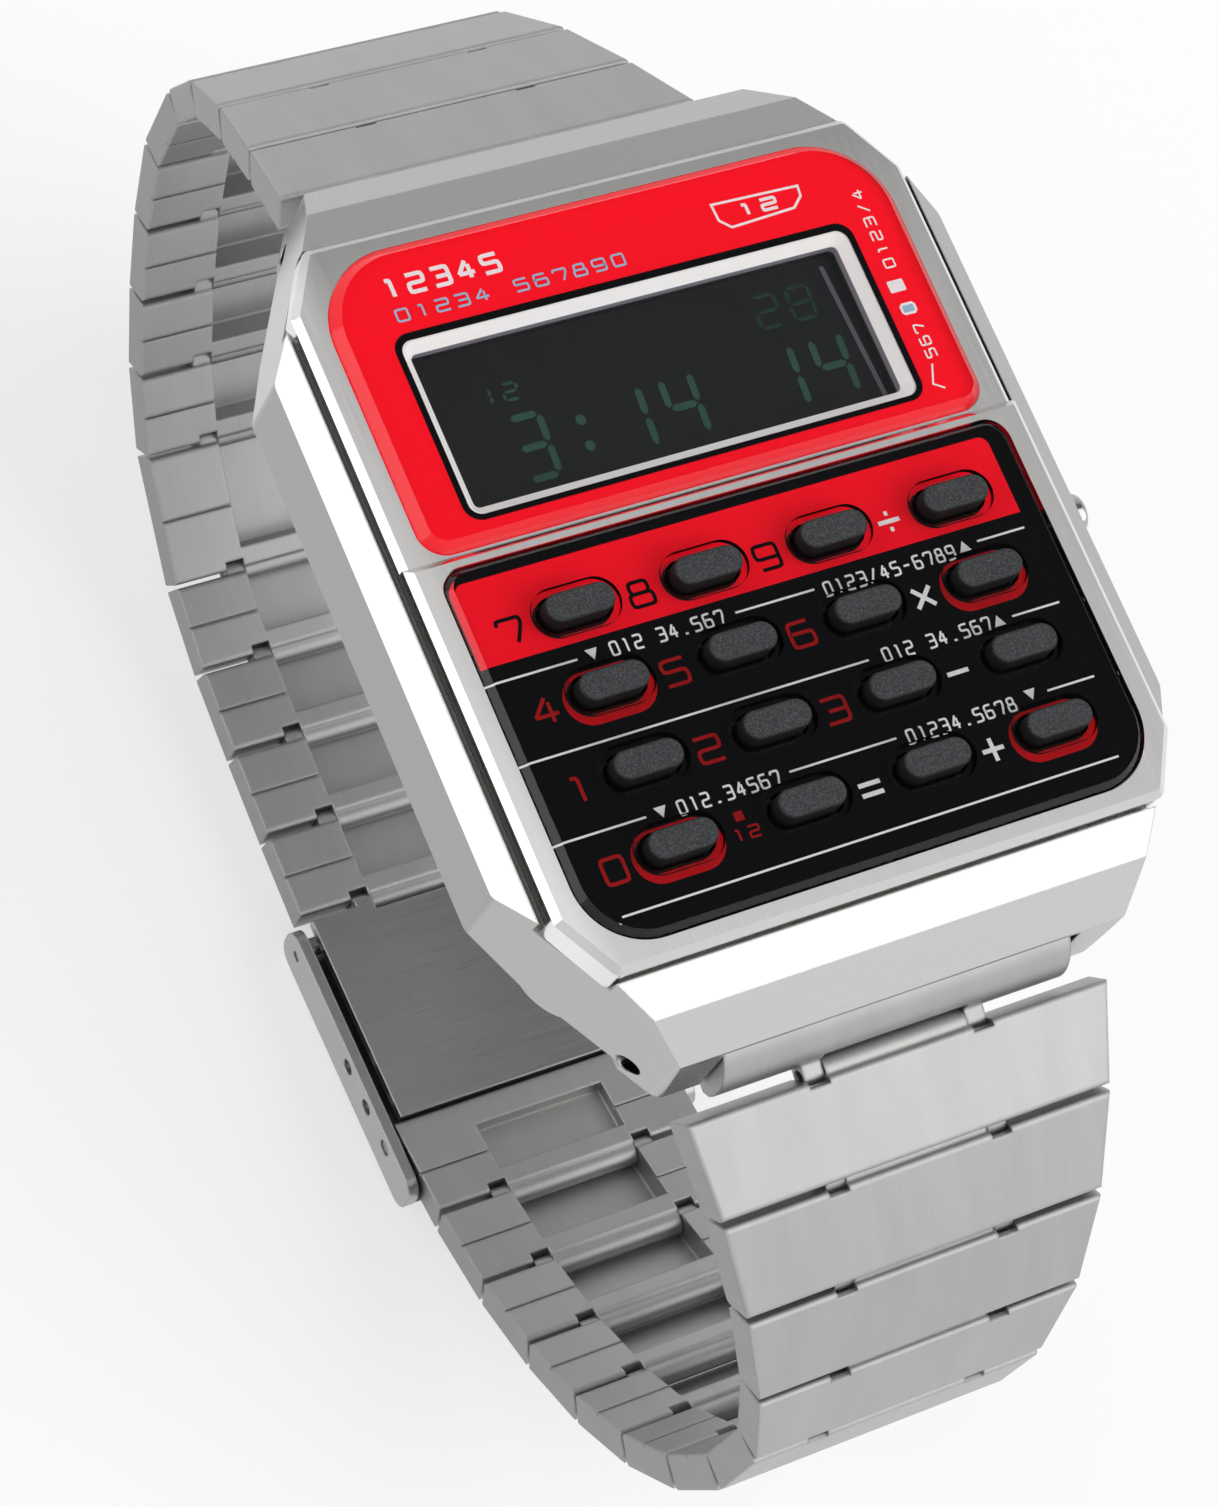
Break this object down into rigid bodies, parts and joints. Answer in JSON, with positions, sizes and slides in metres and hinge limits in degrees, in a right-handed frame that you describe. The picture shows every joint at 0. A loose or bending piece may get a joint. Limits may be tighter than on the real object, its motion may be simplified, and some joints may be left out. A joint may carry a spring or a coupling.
{
  "type": "calculator wristwatch",
  "caption": "Octagonal steel calculator wristwatch with red display surround, sixteen-key pad, side buttons and closed folded-link bracelet with fold-over clasp.",
  "frame": {"origin": "centre of the case back's flat face, which lies on the wrist", "axes": "+X towards three o'clock (the button side), +Y towards twelve o'clock, +Z out of the dial"},
  "size_m": [0.0356, 0.0737, 0.0517],
  "materials": {
    "steel_case": "brushed sides, polished chamfers",
    "steel_bezel": "fine vertical brushing, polished edge",
    "display_glass": "printed underneath",
    "keypad_plate": "clear plate printed underneath",
    "key_rubber": "matte, slightly speckled",
    "contact_rubber": "matte",
    "lcd": "dark liquid-crystal cell",
    "frame_plastic": "moulded",
    "board": "printed board",
    "cell_steel": "nickelled can",
    "back_steel": "brushed",
    "screw_steel": "bright",
    "button_steel": "polished",
    "link_steel": "brushed across",
    "clasp_steel": "brushed, polished walls"
  },
  "bodies": {
    "watch_case": {"case": "steel_case", "bezel": "steel_bezel", "display_glass": "display_glass", "keypad_panel": "keypad_plate", "key_membrane": "contact_rubber", "lcd_panel": "lcd", "module_frame": "frame_plastic", "circuit_board": "board", "battery": "cell_steel", "back_cover": "back_steel", "back_screws": "screw_steel"},
    "key_7": {"key_7": "key_rubber"},
    "key_8": {"key_8": "key_rubber"},
    "key_9": {"key_9": "key_rubber"},
    "key_divide": {"key_divide": "key_rubber"},
    "key_4": {"key_4": "key_rubber"},
    "key_5": {"key_5": "key_rubber"},
    "key_6": {"key_6": "key_rubber"},
    "key_times": {"key_times": "key_rubber"},
    "key_1": {"key_1": "key_rubber"},
    "key_2": {"key_2": "key_rubber"},
    "key_3": {"key_3": "key_rubber"},
    "key_minus": {"key_minus": "key_rubber"},
    "key_0": {"key_0": "key_rubber"},
    "key_point": {"key_point": "key_rubber"},
    "key_equals": {"key_equals": "key_rubber"},
    "key_plus": {"key_plus": "key_rubber"},
    "mode_button": {"mode_button": "button_steel"},
    "adjust_button": {"adjust_button": "button_steel"},
    "upper_end_link": {"upper_end_link": "link_steel"},
    "upper_link_01": {"upper_link_01": "link_steel"},
    "upper_link_02": {"upper_link_02": "link_steel"},
    "upper_link_03": {"upper_link_03": "link_steel"},
    "upper_link_04": {"upper_link_04": "link_steel"},
    "upper_link_05": {"upper_link_05": "link_steel"},
    "upper_link_06": {"upper_link_06": "link_steel"},
    "upper_link_07": {"upper_link_07": "link_steel"},
    "upper_link_08": {"upper_link_08": "link_steel"},
    "upper_link_09": {"upper_link_09": "link_steel"},
    "upper_link_10": {"upper_link_10": "link_steel"},
    "upper_link_11": {"upper_link_11": "link_steel"},
    "upper_link_12": {"upper_link_12": "link_steel"},
    "upper_link_13": {"upper_link_13": "link_steel"},
    "upper_link_14": {"upper_link_14": "link_steel"},
    "clasp_inner_blade": {"clasp_inner_blade": "clasp_steel"},
    "clasp_middle_blade": {"clasp_middle_blade": "clasp_steel"},
    "clasp_cover": {"clasp_cover": "clasp_steel"},
    "lower_link_12": {"lower_link_12": "link_steel"},
    "lower_link_11": {"lower_link_11": "link_steel"},
    "lower_link_10": {"lower_link_10": "link_steel"},
    "lower_link_09": {"lower_link_09": "link_steel"},
    "lower_link_08": {"lower_link_08": "link_steel"},
    "lower_link_07": {"lower_link_07": "link_steel"},
    "lower_link_06": {"lower_link_06": "link_steel"},
    "lower_link_05": {"lower_link_05": "link_steel"},
    "lower_link_04": {"lower_link_04": "link_steel"},
    "lower_link_03": {"lower_link_03": "link_steel"},
    "lower_link_02": {"lower_link_02": "link_steel"},
    "lower_link_01": {"lower_link_01": "link_steel"},
    "lower_end_link": {"lower_end_link": "link_steel"}
  },
  "joints": [
    {"name": "key_7_press", "type": "slide", "parent": "watch_case", "child": "key_7", "axis": [0, 0, -1], "range_m": [0, 0.0005], "stiffness_N_per_m": 500, "springref_m": -0.0002},
    {"name": "key_8_press", "type": "slide", "parent": "watch_case", "child": "key_8", "axis": [0, 0, -1], "range_m": [0, 0.0005], "stiffness_N_per_m": 500, "springref_m": -0.0002},
    {"name": "key_9_press", "type": "slide", "parent": "watch_case", "child": "key_9", "axis": [0, 0, -1], "range_m": [0, 0.0005], "stiffness_N_per_m": 500, "springref_m": -0.0002},
    {"name": "key_divide_press", "type": "slide", "parent": "watch_case", "child": "key_divide", "axis": [0, 0, -1], "range_m": [0, 0.0005], "stiffness_N_per_m": 500, "springref_m": -0.0002},
    {"name": "key_4_press", "type": "slide", "parent": "watch_case", "child": "key_4", "axis": [0, 0, -1], "range_m": [0, 0.0005], "stiffness_N_per_m": 500, "springref_m": -0.0002},
    {"name": "key_5_press", "type": "slide", "parent": "watch_case", "child": "key_5", "axis": [0, 0, -1], "range_m": [0, 0.0005], "stiffness_N_per_m": 500, "springref_m": -0.0002},
    {"name": "key_6_press", "type": "slide", "parent": "watch_case", "child": "key_6", "axis": [0, 0, -1], "range_m": [0, 0.0005], "stiffness_N_per_m": 500, "springref_m": -0.0002},
    {"name": "key_times_press", "type": "slide", "parent": "watch_case", "child": "key_times", "axis": [0, 0, -1], "range_m": [0, 0.0005], "stiffness_N_per_m": 500, "springref_m": -0.0002},
    {"name": "key_1_press", "type": "slide", "parent": "watch_case", "child": "key_1", "axis": [0, 0, -1], "range_m": [0, 0.0005], "stiffness_N_per_m": 500, "springref_m": -0.0002},
    {"name": "key_2_press", "type": "slide", "parent": "watch_case", "child": "key_2", "axis": [0, 0, -1], "range_m": [0, 0.0005], "stiffness_N_per_m": 500, "springref_m": -0.0002},
    {"name": "key_3_press", "type": "slide", "parent": "watch_case", "child": "key_3", "axis": [0, 0, -1], "range_m": [0, 0.0005], "stiffness_N_per_m": 500, "springref_m": -0.0002},
    {"name": "key_minus_press", "type": "slide", "parent": "watch_case", "child": "key_minus", "axis": [0, 0, -1], "range_m": [0, 0.0005], "stiffness_N_per_m": 500, "springref_m": -0.0002},
    {"name": "key_0_press", "type": "slide", "parent": "watch_case", "child": "key_0", "axis": [0, 0, -1], "range_m": [0, 0.0005], "stiffness_N_per_m": 500, "springref_m": -0.0002},
    {"name": "key_point_press", "type": "slide", "parent": "watch_case", "child": "key_point", "axis": [0, 0, -1], "range_m": [0, 0.0005], "stiffness_N_per_m": 500, "springref_m": -0.0002},
    {"name": "key_equals_press", "type": "slide", "parent": "watch_case", "child": "key_equals", "axis": [0, 0, -1], "range_m": [0, 0.0005], "stiffness_N_per_m": 500, "springref_m": -0.0002},
    {"name": "key_plus_press", "type": "slide", "parent": "watch_case", "child": "key_plus", "axis": [0, 0, -1], "range_m": [0, 0.0005], "stiffness_N_per_m": 500, "springref_m": -0.0002},
    {"name": "mode_button_press", "type": "slide", "parent": "watch_case", "child": "mode_button", "axis": [-1, 0, 0], "range_m": [0, 0.0005], "stiffness_N_per_m": 700, "springref_m": -0.0002},
    {"name": "adjust_button_press", "type": "slide", "parent": "watch_case", "child": "adjust_button", "axis": [-1, 0, 0], "range_m": [0, 0.0005], "stiffness_N_per_m": 700, "springref_m": -0.0002},
    {"name": "upper_end_link_turn", "type": "hinge", "parent": "watch_case", "child": "upper_end_link", "pos_m": [0, 0.02015, 0.00125], "axis": [1, 0, 0], "range_deg": [0, 2]},
    {"name": "upper_link_01_turn", "type": "hinge", "parent": "upper_end_link", "child": "upper_link_01", "pos_m": [0, 0.02267, -0.00029], "axis": [1, 0, 0], "range_deg": [0, 4.9]},
    {"name": "upper_link_02_turn", "type": "hinge", "parent": "upper_link_01", "child": "upper_link_02", "pos_m": [0, 0.02672, -0.00305], "axis": [1, 0, 0], "range_deg": [0, 5.8]},
    {"name": "upper_link_03_turn", "type": "hinge", "parent": "upper_link_02", "child": "upper_link_03", "pos_m": [0, 0.03057, -0.00607], "axis": [1, 0, 0], "range_deg": [0, 11.5]},
    {"name": "upper_link_04_turn", "type": "hinge", "parent": "upper_link_03", "child": "upper_link_04", "pos_m": [0, 0.03388, -0.00969], "axis": [1, 0, 0], "range_deg": [0, 21.1]},
    {"name": "upper_link_05_turn", "type": "hinge", "parent": "upper_link_04", "child": "upper_link_05", "pos_m": [0, 0.03581, -0.01419], "axis": [1, 0, 0], "range_deg": [0, 24.6]},
    {"name": "upper_link_06_turn", "type": "hinge", "parent": "upper_link_05", "child": "upper_link_06", "pos_m": [0, 0.03587, -0.01909], "axis": [1, 0, 0], "range_deg": [0, 18.8]},
    {"name": "upper_link_07_turn", "type": "hinge", "parent": "upper_link_06", "child": "upper_link_07", "pos_m": [0, 0.03452, -0.0238], "axis": [1, 0, 0], "range_deg": [0, 9.2]},
    {"name": "upper_link_08_turn", "type": "hinge", "parent": "upper_link_07", "child": "upper_link_08", "pos_m": [0, 0.03258, -0.0283], "axis": [1, 0, 0], "range_deg": [0, 7.7]},
    {"name": "upper_link_09_turn", "type": "hinge", "parent": "upper_link_08", "child": "upper_link_09", "pos_m": [0, 0.0302, -0.03258], "axis": [1, 0, 0], "range_deg": [0, 14.6]},
    {"name": "upper_link_10_turn", "type": "hinge", "parent": "upper_link_09", "child": "upper_link_10", "pos_m": [0, 0.02695, -0.03625], "axis": [1, 0, 0], "range_deg": [0, 21.2]},
    {"name": "upper_link_11_turn", "type": "hinge", "parent": "upper_link_10", "child": "upper_link_11", "pos_m": [0, 0.02053, -0.03983], "axis": [1, 0, 0], "range_deg": [0, 18.4]},
    {"name": "upper_link_12_turn", "type": "hinge", "parent": "upper_link_11", "child": "upper_link_12", "pos_m": [0, 0.01576, -0.04092], "axis": [1, 0, 0], "range_deg": [0, 10.3]},
    {"name": "upper_link_13_turn", "type": "hinge", "parent": "upper_link_12", "child": "upper_link_13", "pos_m": [0, 0.01087, -0.0413], "axis": [1, 0, 0], "range_deg": [0, 4.3]},
    {"name": "upper_link_14_turn", "type": "hinge", "parent": "upper_link_13", "child": "upper_link_14", "pos_m": [0, 0.00597, -0.04149], "axis": [1, 0, 0], "range_deg": [0, 4.1]},
    {"name": "clasp_inner_blade_turn", "type": "hinge", "parent": "upper_link_14", "child": "clasp_inner_blade", "pos_m": [0, 0.00107, -0.0415], "axis": [1, 0, 0], "range_deg": [0, 7.4]},
    {"name": "clasp_middle_blade_turn", "type": "hinge", "parent": "clasp_inner_blade", "child": "clasp_middle_blade", "pos_m": [0, -0.0102, -0.0407], "axis": [-1, 0, 0], "range_deg": [0, 170]},
    {"name": "clasp_cover_turn", "type": "hinge", "parent": "clasp_middle_blade", "child": "clasp_cover", "pos_m": [0, -0.00054, -0.0416], "axis": [1, 0, 0], "range_deg": [0, 170]},
    {"name": "lower_link_12_turn", "type": "hinge", "parent": "clasp_cover", "child": "lower_link_12", "pos_m": [0, -0.01207, -0.04028], "axis": [1, 0, 0], "range_deg": [0, 11.4]},
    {"name": "lower_link_11_turn", "type": "hinge", "parent": "lower_link_12", "child": "lower_link_11", "pos_m": [0, -0.01681, -0.03903], "axis": [1, 0, 0], "range_deg": [0, 9.7]},
    {"name": "lower_link_10_turn", "type": "hinge", "parent": "lower_link_11", "child": "lower_link_10", "pos_m": [0, -0.02134, -0.03716], "axis": [1, 0, 0], "range_deg": [0, 11.5]},
    {"name": "lower_link_09_turn", "type": "hinge", "parent": "lower_link_10", "child": "lower_link_09", "pos_m": [0, -0.0255, -0.03457], "axis": [1, 0, 0], "range_deg": [0, 10.6]},
    {"name": "lower_link_08_turn", "type": "hinge", "parent": "lower_link_09", "child": "lower_link_08", "pos_m": [0, -0.02922, -0.03139], "axis": [1, 0, 0], "range_deg": [0, 11.9]},
    {"name": "lower_link_07_turn", "type": "hinge", "parent": "lower_link_08", "child": "lower_link_07", "pos_m": [0, -0.03235, -0.02761], "axis": [1, 0, 0], "range_deg": [0, 13.9]},
    {"name": "lower_link_06_turn", "type": "hinge", "parent": "lower_link_07", "child": "lower_link_06", "pos_m": [0, -0.03462, -0.02328], "axis": [1, 0, 0], "range_deg": [0, 16.1]},
    {"name": "lower_link_05_turn", "type": "hinge", "parent": "lower_link_06", "child": "lower_link_05", "pos_m": [0, -0.03577, -0.01851], "axis": [1, 0, 0], "range_deg": [0, 17.2]},
    {"name": "lower_link_04_turn", "type": "hinge", "parent": "lower_link_05", "child": "lower_link_04", "pos_m": [0, -0.03563, -0.01361], "axis": [1, 0, 0], "range_deg": [0, 21.3]},
    {"name": "lower_link_03_turn", "type": "hinge", "parent": "lower_link_04", "child": "lower_link_03", "pos_m": [0, -0.03389, -0.00904], "axis": [1, 0, 0], "range_deg": [0, 17.2]},
    {"name": "lower_link_02_turn", "type": "hinge", "parent": "lower_link_03", "child": "lower_link_02", "pos_m": [0, -0.031, -0.00508], "axis": [1, 0, 0], "range_deg": [0, 15.4]},
    {"name": "lower_link_01_turn", "type": "hinge", "parent": "lower_link_02", "child": "lower_link_01", "pos_m": [0, -0.02727, -0.0019], "axis": [1, 0, 0], "range_deg": [0, 13]},
    {"name": "lower_end_link_turn", "type": "hinge", "parent": "watch_case", "child": "lower_end_link", "pos_m": [0, -0.02015, 0.00125], "axis": [-1, 0, 0], "range_deg": [0, 2]}
  ],
  "couplings": [
    {"joint": "clasp_cover_turn", "follows": "clasp_middle_blade_turn", "ratio": 1}
  ]
}
